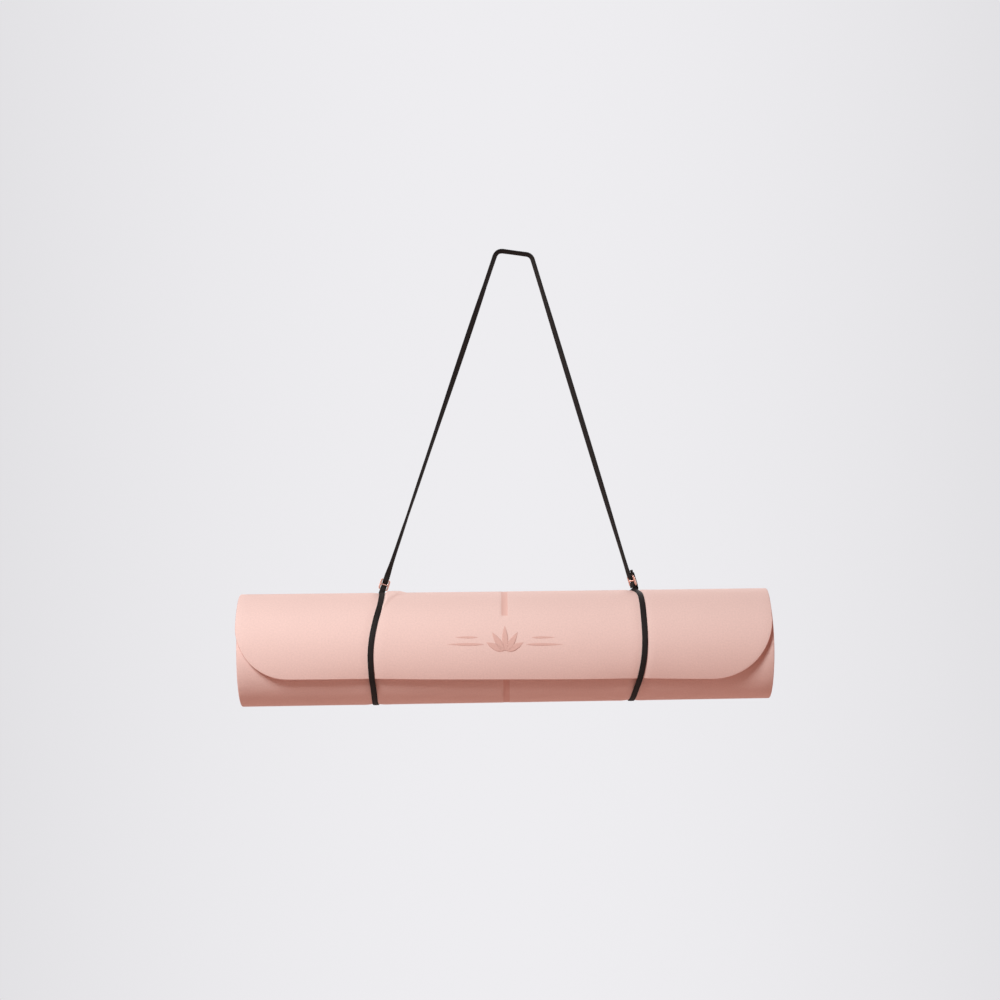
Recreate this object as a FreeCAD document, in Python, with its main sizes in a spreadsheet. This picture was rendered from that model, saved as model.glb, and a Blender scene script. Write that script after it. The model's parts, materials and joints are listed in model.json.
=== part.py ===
import FreeCAD, Part

import math
import os
import Sketcher

# A rolled two-layer exercise mat hanging in a carry sling.
# Frame: origin at the carry point, in the middle of the strap's grip. +X along the rolled mat,
# +Z up, and the mat's outer flap closes on the -Y side. All sizes are in millimetres.

DRIVING_SIZES = {
    "mat_length": 1830,        # flat sheet, along the roll
    "mat_width": 610,          # flat sheet, across the roll
    "mat_thickness": 6,
    "top_layer": 3,            # printed upper layer of the laminate, on the outside of the roll
    "roll_radius": 67.8,       # roll centre to the flap's outer face
    "half_turns": 14,
    "flap_angle": -26,         # where the flap ends, in degrees above the front
    "corner_radius": 70,       # rounded corners of the flat sheet
    "mat_offset": -18,         # middle of the mat along X
    "mat_drop": 459,           # carry point down to the roll's centre
    "tape_width": 6.8,
    "tape_thickness": 1.8,
    "tape_gap": 0.3,           # tape to mat
    "grip_half_width": 20,
    "grip_rise": 3,            # the left grip corner above the carry point, the right one below
    "finger_radius": 9.5,
    "slider_rise": 10.2,       # top of the roll up to a slider's centre
    "left_slider_offset": -156,
    "right_slider_offset": 130,
    "right_turn": -50,         # the right slider is turned about its span, in degrees
    "slider_width": 11.6,
    "slider_slot_width": 7.6,
    "bar_pitch": 5.6,          # one cross bar to the next
    "bar_width": 1.6,
    "corner_round": 2.2,
    "edge_round": 0.5,
    "bar_gap": 0.15,           # tape to cross bar
    "slider_travel": 80,
    "left_noose_front": -168,  # where each noose crosses the front of the roll
    "left_noose_bottom": -164,
    "right_noose_front": 143,
    "right_noose_bottom": 131,
    "knot_diameter": 4.4,
    "tape_end_rise": 9.5,      # slider centre up to the end knot
}

document = FreeCAD.newDocument("carry_mat")
sheet = document.addObject("Spreadsheet::Sheet", "sizes")
for row, (alias, value) in enumerate(DRIVING_SIZES.items(), start=1):
    sheet.set(f"A{row}", alias)
    sheet.set(f"B{row}", str(value))
    sheet.setAlias(f"B{row}", alias)
document.recompute()


def size(alias):
    """The value of one cell of the sheet, as a number."""
    return float(getattr(sheet, alias))


def vector(x, y, z):
    return FreeCAD.Vector(x, y, z)


# ---- outlines in a plane: lists of lines and arcs, which a ribbon follows at an offset ----

def point_at(centre, radius, degrees):
    angle = math.radians(degrees)
    return (centre[0] + radius * math.cos(angle), centre[1] + radius * math.sin(angle))


def offset_piece(piece, offset):
    """One line or arc, moved sideways to the right of its direction of travel."""
    if piece[0] == "line":
        _, start, end = piece
        length = math.dist(start, end)
        aside = ((end[1] - start[1]) / length * offset, (start[0] - end[0]) / length * offset)
        ends = [vector(point[0] + aside[0], point[1] + aside[1], 0) for point in (start, end)]
        return Part.LineSegment(*ends).toShape()
    _, centre, radius, start_angle, end_angle = piece
    radius += offset if end_angle > start_angle else -offset
    angles = (start_angle, (start_angle + end_angle) / 2, end_angle)
    return Part.Arc(*[vector(*point_at(centre, radius, angle), 0) for angle in angles]).toShape()


def ribbon_face(path, low, high):
    """The face between two offsets of an open path."""
    near = [offset_piece(piece, low) for piece in path]
    far = [offset_piece(piece, high) for piece in path]
    ends = []
    for index, vertex in ((0, 0), (-1, -1)):
        pair = [side[index].Vertexes[vertex].Point for side in (near, far)]
        ends.append(Part.LineSegment(*pair).toShape())
    return Part.Face(Part.Wire(Part.__sortEdges__(near + far + ends)))


def plane_placement(origin, along, across):
    """Placement that lays a drawing's x on 'along' and its y on 'across'."""
    normal = along.cross(across)
    return FreeCAD.Placement(FreeCAD.Matrix(
        along.x, across.x, normal.x, origin.x,
        along.y, across.y, normal.y, origin.y,
        along.z, across.z, normal.z, origin.z,
        0, 0, 0, 1))


def thick(face, depth):
    """The face extruded by depth, half to each side of its plane."""
    face = face.copy()
    face.translate(vector(0, 0, -depth / 2))
    return face.extrude(vector(0, 0, depth))


def path_length(path):
    total = 0
    for piece in path:
        if piece[0] == "line":
            total += math.dist(piece[1], piece[2])
        else:
            total += piece[2] * abs(math.radians(piece[4] - piece[3]))
    return total


def add_feature(label, shape, placement):
    feature = document.addObject("Part::Feature", label)
    feature.Label = label
    feature.Shape = shape
    feature.Placement = placement
    return feature


# ---- the roll: two centres, so that every half turn is a true arc ----
# Its drawing plane has x towards the front and y up, about the roll's centre.

MIDDLE_LENGTH = size("mat_length") / (math.pi * size("half_turns"))
PITCH = (size("roll_radius") - size("mat_thickness") / 2 - MIDDLE_LENGTH) / (size("half_turns") / 4)
FIRST_RADIUS = size("roll_radius") - PITCH / 4
ROLL_CENTRE = vector(size("mat_offset"), 0, -size("mat_drop"))
FRONT = vector(0, -1, 0)
UP = vector(0, 0, 1)
ALONG = vector(1, 0, 0)
ROLL_TOP = -size("mat_drop") + FIRST_RADIUS + PITCH / 4 * math.sin(math.radians(size("flap_angle")))
TAPE_FOOT = ROLL_TOP + size("tape_gap") + size("tape_thickness")


def half_turn(number):
    """Arc of the roll's outer face, half turn 'number' from the flap end inwards."""
    side = PITCH / 4 if number % 2 == 0 else -PITCH / 4
    centre = point_at((0, 0), side, size("flap_angle"))
    radius = FIRST_RADIUS - number * PITCH / 2
    start = size("flap_angle") + 180 * (number % 2)
    return ("arc", centre, radius, start, start + 180)


ROLL_PATH = [half_turn(number) for number in range(int(size("half_turns")))]


def corner_cutters():
    """What the flap's two rounded corners take away from the outer turn."""
    radius = size("corner_radius")
    flap = point_at((0, 0), size("roll_radius"), size("flap_angle"))
    reach = size("roll_radius")
    arc_top = size("flap_angle") + math.degrees(radius / size("roll_radius"))
    rise = point_at((0, 0), size("roll_radius"), arc_top)[1] - flap[1]
    outer_turn = thick(ribbon_face([("arc", *half_turn(0)[1:4], arc_top)],
                                   -size("mat_thickness") - size("tape_gap"), reach),
                       size("mat_width") + reach)
    outer_turn.Placement = plane_placement(vector(0, 0, 0), FRONT, UP)
    cutters = []
    for side in (-1, 1):
        outline = Part.Ellipse(vector(0, 0, 0), radius, rise).toShape()
        hole = Part.Face(Part.Wire(outline))
        square = Part.makePlane(2 * radius, 2 * radius, vector(0 if side > 0 else -2 * radius, -2 * radius, 0))
        corner = square.cut(hole)
        prism = corner.extrude(vector(0, 0, reach * 2))
        middle = side * (size("mat_width") / 2 - radius)
        prism.Placement = plane_placement(vector(middle, 0, flap[1] + rise), ALONG, UP)
        cutters.append(prism.common(outer_turn))
    return cutters


def add_mat_layer(label, outer_depth, inner_depth):
    layer = thick(ribbon_face(ROLL_PATH, -outer_depth, -inner_depth), size("mat_width"))
    layer.Placement = plane_placement(vector(0, 0, 0), FRONT, UP)
    for cutter in corner_cutters():
        layer = layer.cut(cutter)
    return add_feature(label, layer.Solids[0], FreeCAD.Placement(ROLL_CENTRE, FreeCAD.Rotation()))


# ---- the strap ----

def span_frame(side, turn):
    """Placement whose z runs up the span from the slider's centre line, turned about it."""
    offset = size("left_slider_offset") if side < 0 else size("right_slider_offset")
    foot = vector(offset, 0, ROLL_TOP + size("slider_rise"))
    corner = grip_corner(side)
    lean = math.degrees(math.atan2(corner.x - foot.x, corner.z - foot.z))
    rotation = FreeCAD.Rotation(vector(0, 1, 0), lean).multiply(FreeCAD.Rotation(UP, turn))
    return FreeCAD.Placement(foot, rotation)


def grip_corner(side):
    return vector(side * size("grip_half_width"), 0, -side * size("grip_rise"))


def grip_path():
    """Span top, finger arc, flat of the grip, finger arc, span top, drawn in X and Z."""
    corners = [(grip_corner(side).x, grip_corner(side).z) for side in (-1, 1)]
    feet = []
    for side in (-1, 1):
        base = span_frame(side, 0).Base
        feet.append((base.x, base.z))
    route = [feet[0], corners[0], corners[1], feet[1]]
    radius = size("finger_radius")
    headings = [math.degrees(math.atan2(b[1] - a[1], b[0] - a[0])) for a, b in zip(route, route[1:])]
    path = []
    last = None
    for index in (1, 2):
        turn = headings[index - 1] - headings[index]
        tangent = radius * math.tan(math.radians(turn) / 2)
        start = point_at(route[index], -tangent, headings[index - 1])
        end = point_at(route[index], tangent, headings[index])
        centre = point_at(start, radius, headings[index - 1] - 90)
        if last:
            path.append(("line", last, start))
        path.append(("arc", centre, radius, headings[index - 1] + 90, headings[index] + 90))
        last = end
    return path


def noose_ring():
    """Taut outline round the roll: two arcs, the bridge below the flap and the bend at its edge."""
    gap = size("tape_gap")
    tape = size("tape_thickness")
    _, top_centre, top_radius, top_start, top_end = half_turn(0)
    _, low_centre, low_radius, low_start, _ = half_turn(1)
    edge = point_at(top_centre, top_radius + gap, top_start)
    swing = math.degrees(math.acos((low_radius + gap) / math.dist(edge, low_centre)))
    low_end = top_start + 360 - swing
    touch = point_at(low_centre, low_radius + gap, low_end)
    path = [("arc", top_centre, top_radius + gap, top_start, top_end),
            ("arc", low_centre, low_radius + gap, low_start, low_end),
            ("line", touch, edge)]
    inner = Part.Wire([offset_piece(piece, 0) for piece in path])
    bend = ("arc", edge, tape, low_end - 360, top_start)
    outer = Part.Wire(Part.__sortEdges__([offset_piece(piece, tape) for piece in path]
                                         + [offset_piece(bend, 0)]))
    return Part.Face(outer).cut(Part.Face(inner)), path


def add_noose(label, side, front_offset, bottom_offset):
    """The ring round the roll, kept only inside a strip that bows outwards along X."""
    ring_face, path = noose_ring()
    ring = thick(ring_face, size("mat_width"))
    ring.Placement = plane_placement(vector(0, 0, 0), FRONT, UP)
    span = span_frame(side, 0)
    foot = span.multVec(vector(0, 0, (TAPE_FOOT - span.Base.z) / span.Rotation.multVec(UP).z))
    reach = size("roll_radius")
    stations = [vector(foot.x, reach, 0), vector(front_offset, 0, 0), vector(bottom_offset, -reach, 0)]
    circle = Part.Arc(*stations).toShape().Curve
    half_width = size("tape_width") / 2
    centre = circle.Center
    disc = []
    for radius in (circle.Radius - half_width, circle.Radius + half_width):
        disc.append(Part.Face(Part.Wire(Part.Circle(centre, vector(0, 0, 1), radius).toShape())))
    band = thick(disc[1].cut(disc[0]), reach * 3)
    band.Placement = plane_placement(vector(0, 0, 0), ALONG, UP)
    near_side = Part.makeBox(reach * 2, reach * 3, reach * 3, vector(front_offset - reach, -reach * 1.5,
                                                                     -reach * 1.5))
    noose = ring.common(band).common(near_side)
    print(label, "length", round(path_length(path)), "mm, volume over section x length",
          round(noose.Volume / (size("tape_width") * size("tape_thickness") * path_length(path)), 3))
    centre_on_x = FreeCAD.Placement(vector(0, 0, ROLL_CENTRE.z), FreeCAD.Rotation())
    return add_feature(label, noose.Solids[0], centre_on_x)


WEAVE_RADIUS = size("bar_width") / 2 + size("bar_gap") + size("tape_thickness") / 2


def weave_path(low_end, high_end):
    """Up the span: past the bottom bar, behind the middle one and past the top one.

    Drawn with x up the span and y towards the back; the tape's straight line is y = 0.
    """
    pitch = size("bar_pitch")
    tilt = math.degrees(math.asin(2 * WEAVE_RADIUS / pitch))
    bars = [(-pitch, WEAVE_RADIUS), (0, WEAVE_RADIUS), (pitch, WEAVE_RADIUS)]
    low, middle, high = bars
    first = ("arc", low, WEAVE_RADIUS, -90, -90 + tilt)
    second = ("arc", middle, WEAVE_RADIUS, 90 + tilt, 90 - tilt)
    third = ("arc", high, WEAVE_RADIUS, -90 - tilt, -90)
    arcs = [first, second, third]
    path = [("line", (low_end, 0), point_at(low, WEAVE_RADIUS, -90))]
    for number, arc in enumerate(arcs):
        path.append(arc)
        if number < 2:
            following = arcs[number + 1]
            path.append(("line", point_at(*arc[1:3], arc[4]), point_at(*following[1:4])))
    path.append(("line", point_at(high, WEAVE_RADIUS, -90), (high_end, 0)))
    return path


def add_lower_span(label, side, turn):
    """The tape from the noose up through the slider, as far as the slider can travel."""
    frame = span_frame(side, turn)
    path = weave_path(-2 * size("slider_rise"), size("slider_travel") + 2 * size("bar_pitch"))
    half = size("tape_thickness") / 2
    tape = thick(ribbon_face(path, -half, half), size("tape_width"))
    tape.Placement = frame.multiply(plane_placement(vector(0, 0, 0), UP, vector(0, 1, 0)))
    under = Part.makeBox(200, 200, 200, vector(frame.Base.x - 100, -100, TAPE_FOOT - 200))
    return add_feature(label, tape.cut(under).Solids[0], FreeCAD.Placement())


def section(width, thickness, turn, height):
    """A rectangle across the span, turned about it."""
    corners = [vector(a * width / 2, b * thickness / 2, 0) for a, b in ((-1, -1), (1, -1), (1, 1), (-1, 1))]
    wire = Part.makePolygon(corners + corners[:1])
    wire.rotate(vector(0, 0, 0), UP, turn)
    wire.translate(vector(0, 0, height))
    return wire


def add_upper_span(label, side, turn, end_turn):
    """The tape from above the slider's travel to the grip, twisting as it goes."""
    frame = span_frame(side, 0)
    base = frame.Base
    grip_ends = grip_path()
    arc = grip_ends[0] if side < 0 else grip_ends[-1]
    top = point_at(arc[1], arc[2], arc[3] if side < 0 else arc[4])
    length = math.dist(top, (base.x, base.z))
    start = size("slider_travel") + 2 * size("bar_pitch")
    steps = 6
    wires = []
    for step in range(steps + 1):
        share = step / steps
        wires.append(section(size("tape_width"), size("tape_thickness"),
                             turn + (end_turn - turn) * share, start + (length - start) * share))
    tape = Part.makeLoft(wires, True, True)
    print(label, "runs", round(length - start), "mm, volume over section x length",
          round(tape.Volume / (size("tape_width") * size("tape_thickness") * (length - start)), 3))
    return add_feature(label, tape, frame)


def add_grip():
    path = grip_path()
    half = size("tape_thickness") / 2
    tape = thick(ribbon_face(path, -half, half), size("tape_width"))
    radii = [piece[2] for piece in path if piece[0] == "arc"]
    print("strap_grip radii", radii, "length", round(path_length(path), 1),
          "volume over section x length",
          round(tape.Volume / (size("tape_width") * size("tape_thickness") * path_length(path)), 3))
    return add_feature("strap_grip", tape, plane_placement(vector(0, 0, 0), ALONG, UP))


# ---- the sliders ----

def rectangle(body, name, width, height, lowest):
    """A rectangle on the body's XZ plane, centred across it; its three sizes are expressions."""
    sketch = body.newObject("Sketcher::SketchObject", name)
    plane = [item for item in body.Origin.OriginFeatures if item.Role == "XZ_Plane"][0]
    sketch.AttachmentSupport = [(plane, "")]
    sketch.MapMode = "FlatFace"
    points = [vector(-5, 1, 0), vector(5, 1, 0), vector(5, 4, 0), vector(-5, 4, 0)]
    for start, end in zip(points, points[1:] + points[:1]):
        sketch.addGeometry(Part.LineSegment(start, end), False)
    for line in range(4):
        sketch.addConstraint(Sketcher.Constraint("Coincident", line, 2, (line + 1) % 4, 1))
    for kind, line in (("Vertical", 1), ("Horizontal", 2), ("Vertical", 3)):
        sketch.addConstraint(Sketcher.Constraint(kind, line))
    sketch.addConstraint(Sketcher.Constraint("Symmetric", 0, 1, 0, 2, -2))
    across = sketch.addConstraint(Sketcher.Constraint("DistanceX", 0, 1, 0, 2, 10))
    upward = sketch.addConstraint(Sketcher.Constraint("DistanceY", 1, 1, 1, 2, 3))
    base = sketch.addConstraint(Sketcher.Constraint("DistanceY", -1, 1, 0, 1, 1))
    sketch.setExpression(f"Constraints[{across}]", width)
    sketch.setExpression(f"Constraints[{upward}]", height)
    sketch.setExpression(f"Constraints[{base}]", lowest)
    return sketch


def add_slider(label, side, turn):
    """A cast tri-glide: two side rails and three cross bars."""
    body = document.addObject("PartDesign::Body", label)
    body.Label = label
    outline = rectangle(body, label + "_outline", "sizes.slider_width",
                        "2 * sizes.bar_pitch + sizes.bar_width",
                        "-sizes.bar_pitch - sizes.bar_width / 2")
    plate = body.newObject("PartDesign::Pad", label + "_plate")
    plate.Profile = outline
    plate.SideType = "Symmetric"
    plate.setExpression("Length", "sizes.bar_width")
    document.recompute()
    solid_volume = plate.Shape.Volume
    for name, lowest in (("low_slot", "-sizes.bar_pitch + sizes.bar_width / 2"),
                         ("high_slot", "sizes.bar_width / 2")):
        opening = rectangle(body, f"{label}_{name}_outline", "sizes.slider_slot_width",
                            "sizes.bar_pitch - sizes.bar_width", lowest)
        slot = body.newObject("PartDesign::Pocket", f"{label}_{name}")
        slot.Profile = opening
        slot.SideType = "Symmetric"
        slot.setExpression("Length", "2 * sizes.bar_width")
        document.recompute()
    slot_volume = 2 * size("slider_slot_width") * (size("bar_pitch") - size("bar_width")) * size("bar_width")
    if abs(solid_volume - slot.Shape.Volume - slot_volume) > 0.01 * slot_volume:
        raise RuntimeError(f"{label}: the slots didn't cut")
    corners = []
    for number, edge in enumerate(slot.Shape.Edges, start=1):
        middle = edge.CenterOfMass
        if abs(middle.x) > size("slider_width") / 2 - 0.1 and abs(middle.y) < 0.1 \
                and abs(middle.z) > size("bar_pitch"):
            corners.append(f"Edge{number}")
    rounded = body.newObject("PartDesign::Fillet", label + "_corners")
    rounded.Base = (slot, corners)
    rounded.setExpression("Radius", "sizes.corner_round")
    document.recompute()
    eased = body.newObject("PartDesign::Fillet", label + "_edges")
    eased.Base = (rounded, [])
    eased.UseAllEdges = True
    eased.setExpression("Radius", "sizes.edge_round")
    body.Tip = eased
    body.Placement = span_frame(side, turn).multiply(
        FreeCAD.Placement(vector(0, WEAVE_RADIUS, 0), FreeCAD.Rotation()))
    return body


def add_tape_end(label, side, turn):
    """The strap's end: it comes up behind the slider and stops in a knot above it."""
    ply = document.addObject("Part::Box", label + "_ply")
    ply.setExpression("Length", "sizes.tape_width")
    ply.setExpression("Width", "sizes.tape_thickness")
    ply.setExpression("Height", "sizes.slider_rise / 2 + sizes.tape_end_rise")
    ply.setExpression("Placement.Base.x", "-sizes.tape_width / 2")
    ply.setExpression("Placement.Base.y", "sizes.bar_width + 3 * sizes.bar_gap + 1.5 * sizes.tape_thickness")
    ply.setExpression("Placement.Base.z", "-sizes.slider_rise / 2 - sizes.bar_width")
    knot = document.addObject("Part::Sphere", label + "_knot")
    knot.setExpression("Radius", "sizes.knot_diameter / 2")
    knot.setExpression("Placement.Base.y", "sizes.bar_width + 3 * sizes.bar_gap + 2 * sizes.tape_thickness")
    knot.setExpression("Placement.Base.z", "sizes.tape_end_rise")
    whole = document.addObject("Part::Fuse", label)
    whole.Label = label
    whole.Base = ply
    whole.Tool = knot
    whole.Placement = span_frame(side, turn)
    return whole


def build():
    nodes = [
        add_mat_layer("mat_top_layer", 0, size("top_layer")),
        add_mat_layer("mat_bottom_layer", size("top_layer"), size("mat_thickness")),
        add_grip(),
        add_noose("left_noose", -1, size("left_noose_front"), size("left_noose_bottom")),
        add_noose("right_noose", 1, size("right_noose_front"), size("right_noose_bottom")),
    ]
    for name, side, turn in (("left", -1, 0), ("right", 1, size("right_turn"))):
        nodes.append(add_lower_span(name + "_lower_span", side, turn))
        nodes.append(add_upper_span(name + "_upper_span", side, turn, side * -90))
        nodes.append(add_slider(name + "_slider_frame", side, turn))
        nodes.append(add_tape_end(name + "_tape_end", side, turn))
    return nodes


def write(nodes):
    document.recompute()
    for item in document.Objects:
        if any(word in item.State for word in ("Invalid", "Error")):
            raise RuntimeError(f"{item.Label} failed to build: {item.State}")
    os.makedirs("parts", exist_ok=True)
    for node in nodes:
        shape = node.Shape
        if shape.isNull() or not shape.isValid() or not shape.Solids:
            raise RuntimeError(f"{node.Label} has no valid solid")
        shape.exportStep(f"parts/{node.Label}.step")
        print(node.Label, len(shape.Solids), "solid", round(shape.Volume / 1000, 3), "cm3")


write(build())
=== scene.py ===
"""Looks of a rolled exercise mat in a carry sling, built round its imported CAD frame.

Row frame: metres, origin at the carry point, +X along the roll, +Z up, flap on the -Y side.
"""

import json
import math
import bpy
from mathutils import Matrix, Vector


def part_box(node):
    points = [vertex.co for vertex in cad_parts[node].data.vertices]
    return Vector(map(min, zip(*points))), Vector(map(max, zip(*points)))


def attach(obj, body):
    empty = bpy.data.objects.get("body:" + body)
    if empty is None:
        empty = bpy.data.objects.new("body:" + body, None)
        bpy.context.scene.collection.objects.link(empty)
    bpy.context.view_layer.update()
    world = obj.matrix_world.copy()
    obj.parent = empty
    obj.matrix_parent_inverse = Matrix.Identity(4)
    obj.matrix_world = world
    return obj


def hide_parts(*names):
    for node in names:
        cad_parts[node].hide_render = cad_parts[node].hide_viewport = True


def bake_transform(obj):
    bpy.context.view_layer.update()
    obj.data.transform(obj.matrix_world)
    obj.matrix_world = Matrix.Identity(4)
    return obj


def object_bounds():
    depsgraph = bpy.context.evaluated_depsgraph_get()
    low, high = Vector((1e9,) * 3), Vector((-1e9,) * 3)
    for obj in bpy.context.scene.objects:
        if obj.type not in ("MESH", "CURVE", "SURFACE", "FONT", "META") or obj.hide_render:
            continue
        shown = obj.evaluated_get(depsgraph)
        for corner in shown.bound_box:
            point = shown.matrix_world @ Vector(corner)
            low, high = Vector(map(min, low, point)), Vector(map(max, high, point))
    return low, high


bl_info = {
    "name": "Rolled mat in a carry sling",
    "version": (1, 0, 0),
    "blender": (4, 5, 0),
    "location": "View3D > Sidebar > Carry mat",
    "description": "Builds the mat's two foam layers, the braided sling and the sliders round the CAD frame",
    "category": "Object",
}

import bpy
import numpy as np
from mathutils import Matrix, Vector

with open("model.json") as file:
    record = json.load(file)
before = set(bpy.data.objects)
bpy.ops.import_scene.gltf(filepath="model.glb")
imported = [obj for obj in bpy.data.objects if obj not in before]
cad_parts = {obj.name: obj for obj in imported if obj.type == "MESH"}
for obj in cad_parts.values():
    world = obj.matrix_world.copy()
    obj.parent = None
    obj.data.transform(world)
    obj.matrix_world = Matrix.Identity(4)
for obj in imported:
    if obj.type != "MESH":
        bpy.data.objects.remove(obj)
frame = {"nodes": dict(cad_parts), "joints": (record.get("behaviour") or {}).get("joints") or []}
CAD_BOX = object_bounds()
SIDES = {"left": -1, "right": 1}
ROLL_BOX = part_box("mat_top_layer")
SLIDER_BOXES = {name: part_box(name + "_slider_frame") for name in SIDES}
JOINTS = {joint["name"]: joint for joint in frame["joints"]}


# ---- colours ----

def linear(hex_colour):
    """An sRGB hex colour as linear red, green, blue and alpha."""
    parts = [int(hex_colour[start:start + 2], 16) / 255 for start in (1, 3, 5)]
    return tuple(c / 12.92 if c <= 0.04045 else ((c + 0.055) / 1.055) ** 2.4 for c in parts) + (1.0,)


def colour_property(name, description, hex_colour):
    return bpy.props.FloatVectorProperty(
        name=name, description=description, default=linear(hex_colour), size=4, min=0, max=1,
        subtype="COLOR")


def length_property(name, description, default):
    return bpy.props.FloatProperty(name=name, description=description, default=default,
                                   unit="LENGTH", precision=5)


# ---- settings ----

class MatSettings(bpy.types.PropertyGroup):
    sheet_width: length_property("Sheet width", "Width of the flat mat, along the roll", 0.61)
    sheet_length: length_property("Sheet length", "Length of the flat mat", 1.83)
    thickness: length_property("Thickness", "Both foam layers together", 0.006)
    top_layer: length_property("Top layer", "Thickness of the printed top layer", 0.003)
    left_corner: length_property("Left corners", "Radius of the two corners on the left", 0.059)
    right_corner: length_property("Right corners", "Radius of the two corners on the right", 0.07)
    edge_round: length_property("Edge rounding", "Rounding of the mat's cut edges", 0.0009)
    roll_radius: length_property("Roll radius", "Roll centre to the flap's outer face", 0.0678)
    half_turns: bpy.props.IntProperty(name="Half turns", description="Half turns of the roll", default=14)
    flap_angle: bpy.props.FloatProperty(
        name="Flap angle", description="Where the flap ends, above the front", subtype="ANGLE",
        default=math.radians(-26))
    taper: bpy.props.FloatProperty(
        name="Taper", description="How much thicker the left end is rolled than the middle", default=0.0095)
    looseness: bpy.props.FloatProperty(
        name="Looseness", description="How much larger the soft roll is than a tight one", default=0.008)
    skew: bpy.props.FloatProperty(
        name="Skew", description="How much the flap's edge runs out of line with the roll", default=0.0158)
    skew_pivot: length_property("Skew pivot", "Where the flap's edge has its true angle", 0.022)
    telescope: length_property("Telescope", "How far the inner turns stick out to the right", 0.0016)
    flap_lift: length_property("Flap lift", "How far the flap's edge stands off", 0.0016)
    dent: length_property("Dent", "How far the nooses press into the foam", 0.0008)
    pinch: length_property("Pinch", "Height of the fold beside the left noose", 0.0019)
    line_width: length_property("Line width", "Width of the pressed centre line", 0.0072)
    line_offset: length_property("Line offset", "Centre line to the middle of the sheet", 0.001)
    line_depth: length_property("Line depth", "Depth of the pressed centre line", 0.00022)
    line_margin: length_property("Line margin", "End of the sheet to the start of the line", 0.072)
    mark_base: length_property("Mark base", "End of the sheet to the foot of the flower mark", 0.031)
    mark_height: length_property("Mark height", "Height of the flower mark", 0.028)
    mark_span: length_property("Mark span", "Width of the flower mark with its dashes", 0.132)
    top_colour: colour_property("Top colour", "Top foam layer", "#EBCAC1")
    line_colour: colour_property("Line colour", "Pressed line and mark", "#DEB3A8")
    bottom_colour: colour_property("Bottom colour", "Bottom foam layer", "#DDAFA4")
    cut_colour: colour_property("Cut edge colour", "Cut edges of the foam", "#D79F92")


class StrapSettings(bpy.types.PropertyGroup):
    width: length_property("Tape width", "Width of the braided tape", 0.0068)
    thickness: length_property("Tape thickness", "Thickness of the braided tape", 0.0018)
    plait: length_property("Plait", "Length of one plait of the braid", 0.0024)
    relief: length_property("Relief", "Depth of the grooves between plaits", 0.0003)
    step: length_property("Mesh step", "Distance between rings of the tape's mesh", 0.0005)
    grip_half_width: length_property("Grip half width", "Carry point to a corner of the grip", 0.02)
    grip_rise: length_property("Grip rise", "The left corner above the carry point", 0.003)
    colour: colour_property("Tape colour", "Black polyester", "#0F0A09")
    # Painted highlight, and wear: the tops of the plaits are drawn lighter in this colour.
    wear_and_highlight_colour: colour_property("Wear and highlight colour", "Tops of the plaits", "#2B1F1A")


class SliderSettings(bpy.types.PropertyGroup):
    bar_pitch: length_property("Bar pitch", "One cross bar to the next", 0.0056)
    bar_width: length_property("Bar width", "Width of a cross bar", 0.0016)
    bar_gap: length_property("Bar gap", "Tape to cross bar", 0.00015)
    right_turn: bpy.props.FloatProperty(
        name="Right turn", description="The right slider is turned about its span", subtype="ANGLE",
        default=math.radians(-50))
    colour: colour_property("Plating colour", "Rose gold", "#E9B8A8")


class StageSettings(bpy.types.PropertyGroup):
    camera_distance: length_property("Camera distance", "Camera to the sling's plane", 2.58)
    camera_x: length_property("Camera across", "Camera beside the carry point", -0.0194)
    camera_z: length_property("Camera height", "Camera above the carry point", -0.223)
    camera_roll: bpy.props.FloatProperty(name="Camera roll", description="Turn about the line of sight",
                                         subtype="ANGLE", default=math.radians(0.82))
    lens: bpy.props.FloatProperty(name="Lens", description="Focal length in millimetres", default=80)
    floor_drop: length_property("Floor drop", "From the roll down to the floor", 1.0)
    backdrop_colour: colour_property("Backdrop", "Pale grey behind the object", "#EEEDF0")
    bounce_colour: colour_property("Bounce", "Warm light that the floor sends back up", "#E7CBC3")


SETTINGS = {
    "carry_mat": MatSettings,
    "carry_strap": StrapSettings,
    "carry_slider": SliderSettings,
    "carry_stage": StageSettings,
}


# ---- helpers for materials and meshes ----

def add_node(tree, kind, links=None, **settings):
    """Adds a shader node, sets its properties or input values and links its inputs."""
    node = tree.nodes.new("ShaderNode" + kind)
    for name, value in settings.items():
        if hasattr(node, name):
            setattr(node, name, value)
        else:
            node.inputs[name.replace("_", " ")].default_value = value
    for name, source in (links or {}).items():
        tree.links.new(source, node.inputs[name])
    return node


def new_material(name):
    """A material with its tree and its Principled shader."""
    material = bpy.data.materials.new(name)
    material.use_nodes = True
    tree = material.node_tree
    return material, tree, tree.nodes["Principled BSDF"]


def set_shader(shader, **values):
    for name, value in values.items():
        shader.inputs[name.replace("_", " ")].default_value = value


def flat_coordinates(tree):
    """Where a point lies on the flat sheet or tape, in metres, and its three separate numbers."""
    place = add_node(tree, "Attribute", attribute_name="flat")
    parts = add_node(tree, "SeparateXYZ", {"Vector": place.outputs["Vector"]})
    return place.outputs["Vector"], parts.outputs


def maths(tree, operation, first, second=0.0):
    """One step of arithmetic between sockets or numbers."""
    node = add_node(tree, "Math", operation=operation)
    for index, value in enumerate((first, second)):
        if isinstance(value, (int, float)):
            node.inputs[index].default_value = value
        else:
            tree.links.new(value, node.inputs[index])
    return node.outputs[0]


def mix(tree, amount, first, second):
    """Colour mix; each of amount, first and second is a socket or a value."""
    node = add_node(tree, "Mix", data_type="RGBA")
    for index, value in ((0, amount), (6, first), (7, second)):
        if isinstance(value, bpy.types.NodeSocket):
            tree.links.new(value, node.inputs[index])
        else:
            node.inputs[index].default_value = value
    return node.outputs[2]


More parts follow.
